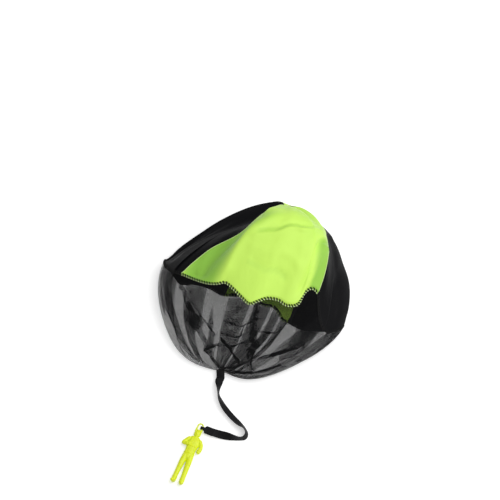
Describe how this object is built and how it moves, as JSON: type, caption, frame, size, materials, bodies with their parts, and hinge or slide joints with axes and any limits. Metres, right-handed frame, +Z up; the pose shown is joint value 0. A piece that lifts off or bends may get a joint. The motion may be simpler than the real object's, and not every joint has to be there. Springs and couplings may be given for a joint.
{
  "type": "toy parachute",
  "caption": "Throwing toy parachute: round cloth canopy of green and black quarters, net skirt gathered to a ribbon, and a small moulded figure hung by a ring; shown lying half inflated on its side.",
  "frame": {"origin": "on the table, under the middle of the toy's box, its ribbon left out", "axes": "+Z up, +Y away from the figure towards the canopy's apex end, +X to the right"},
  "size_m": [0.3044, 0.4686, 0.1153],
  "materials": {
    "green_nylon": "satin",
    "black_nylon": "satin",
    "thread": "matte",
    "tulle": "matte",
    "ribbon": "satin",
    "yellow_plastic": "satin"
  },
  "bodies": {
    "chute": {"canopy_gore_top": "green_nylon", "canopy_gore_left": "black_nylon", "canopy_gore_under": "green_nylon", "canopy_gore_right": "black_nylon", "gore_seam_1": "thread", "gore_seam_2": "thread", "gore_seam_3": "thread", "gore_seam_4": "thread", "rim_overlock": "thread", "net_skirt": "tulle", "net_side_seam": "thread", "gather_binding": "thread"},
    "ribbon": {"ribbon": "ribbon"},
    "figure": {"figure": "yellow_plastic"}
  },
  "joints": [
    {"name": "ribbon_swing", "type": "hinge", "parent": "chute", "child": "ribbon", "pos_m": [-0.05183, -0.05327, 0.0068], "axis": [0, 0, 1], "range_deg": [-25, 25]},
    {"name": "figure_swing", "type": "hinge", "parent": "ribbon", "child": "figure", "pos_m": [-0.08033, -0.13827, 0.005], "axis": [0, 0, 1], "range_deg": [-25, 25]}
  ]
}
